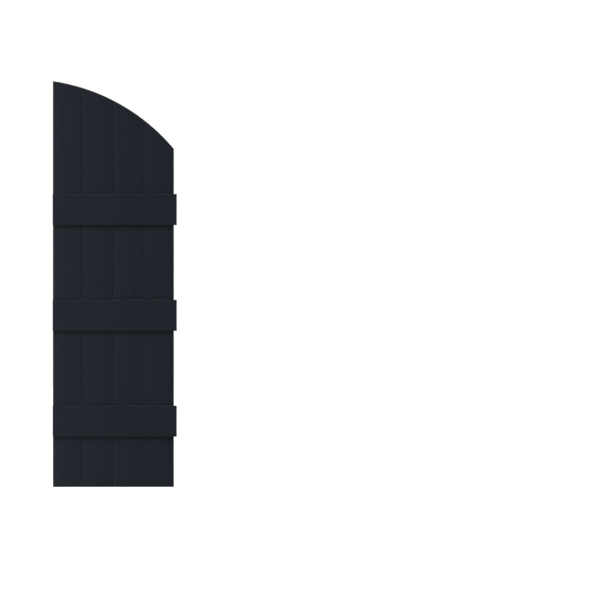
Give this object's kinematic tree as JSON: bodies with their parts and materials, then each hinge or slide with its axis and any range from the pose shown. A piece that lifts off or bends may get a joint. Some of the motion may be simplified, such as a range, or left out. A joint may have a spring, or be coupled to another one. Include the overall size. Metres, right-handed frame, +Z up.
{
  "type": "board and batten shutter",
  "caption": "Decorative wall shutter of upright planks crossed by battens, with a top that slopes down in an arch and an open, ribbed back.",
  "frame": {"origin": "middle of the panel's foot, on the wall plane that the planks' back rims lie on", "axes": "+X towards the edge beside the window, +Y into the wall, +Z up; the face looks along -Y"},
  "size_m": [0.3646, 0.0254, 1.194],
  "materials": {
    "board_vinyl": "satin",
    "batten_vinyl": "satin",
    "screw_steel": "satin"
  },
  "bodies": {
    "root": {"outer_board": "board_vinyl", "second_board": "board_vinyl", "third_board": "board_vinyl", "inner_board": "board_vinyl", "bottom_batten": "batten_vinyl", "middle_batten": "batten_vinyl", "top_batten": "batten_vinyl", "bottom_batten_screws": "screw_steel", "middle_batten_screws": "screw_steel", "top_batten_screws": "screw_steel"}
  },
  "joints": []
}
